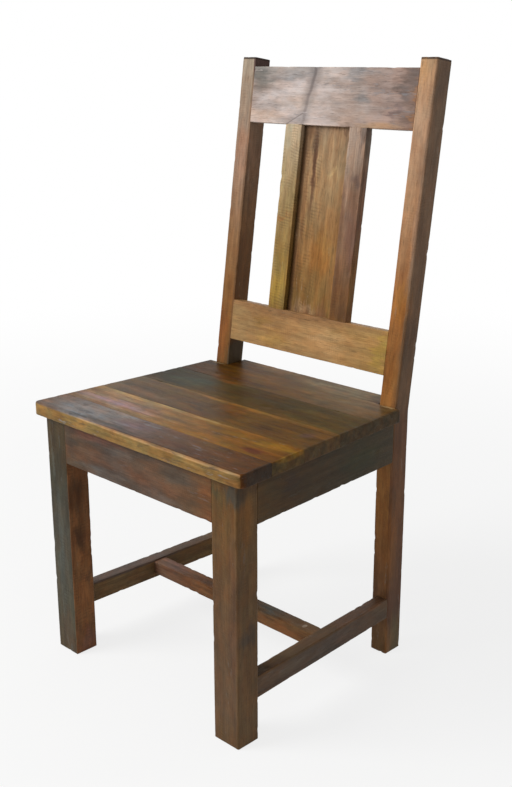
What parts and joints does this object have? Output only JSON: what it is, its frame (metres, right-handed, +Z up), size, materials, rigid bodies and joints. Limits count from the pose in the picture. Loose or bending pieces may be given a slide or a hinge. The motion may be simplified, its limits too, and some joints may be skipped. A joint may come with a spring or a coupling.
{
  "type": "weathered wooden dining chair",
  "caption": "Slat-back dining chair in reclaimed wood: raked posts, crest and lower rails with a panelled splat, board seat and an H-stretcher, worn remnants of old paint.",
  "frame": {"origin": "on the floor, under the middle of the chair's bounding box", "axes": "+Z up, the chair faces -Y, +X to the right of someone who looks at its front"},
  "size_m": [0.4886, 0.5016, 0.995],
  "materials": {
    "front_leg_timber": "waxed and worn, remnants of old paint in the grain",
    "post_timber": "waxed and worn, remnants of old paint in the grain",
    "apron_timber": "waxed and worn, remnants of old paint in the grain",
    "stretcher_timber": "waxed and worn, remnants of old paint in the grain",
    "crest_timber": "waxed and worn, remnants of old paint in the grain",
    "lower_rail_timber": "waxed and worn, remnants of old paint in the grain",
    "stile_timber_left": "waxed and worn, remnants of old paint in the grain",
    "stile_timber_right": "waxed and worn, remnants of old paint in the grain",
    "panel_timber": "waxed and worn, remnants of old paint in the grain",
    "seat_timber_front": "waxed and worn, remnants of old paint in the grain",
    "seat_timber_second": "waxed and worn, remnants of old paint in the grain",
    "seat_timber_third": "waxed and worn, remnants of old paint in the grain",
    "seat_timber_fourth": "waxed and worn, remnants of old paint in the grain",
    "seat_timber_rear": "waxed and worn, remnants of old paint in the grain",
    "block_timber": "bare, sawn",
    "screw_steel": "dull zinc"
  },
  "bodies": {
    "root": {"front_leg_left": "front_leg_timber", "front_leg_right": "front_leg_timber", "rear_post_left": "post_timber", "rear_post_right": "post_timber", "front_apron": "apron_timber", "rear_apron": "apron_timber", "side_apron_left": "apron_timber", "side_apron_right": "apron_timber", "side_stretcher_left": "stretcher_timber", "side_stretcher_right": "stretcher_timber", "cross_stretcher": "stretcher_timber", "crest_rail": "crest_timber", "lower_back_rail": "lower_rail_timber", "splat_stile_left": "stile_timber_left", "splat_stile_right": "stile_timber_right", "splat_panel": "panel_timber", "seat_board_front": "seat_timber_front", "seat_board_second": "seat_timber_second", "seat_board_third": "seat_timber_third", "seat_board_fourth": "seat_timber_fourth", "seat_board_rear": "seat_timber_rear", "corner_block_front_left": "block_timber", "corner_block_front_right": "block_timber", "corner_block_rear_left": "block_timber", "corner_block_rear_right": "block_timber", "block_screws": "screw_steel", "seat_screws": "screw_steel"}
  },
  "joints": []
}
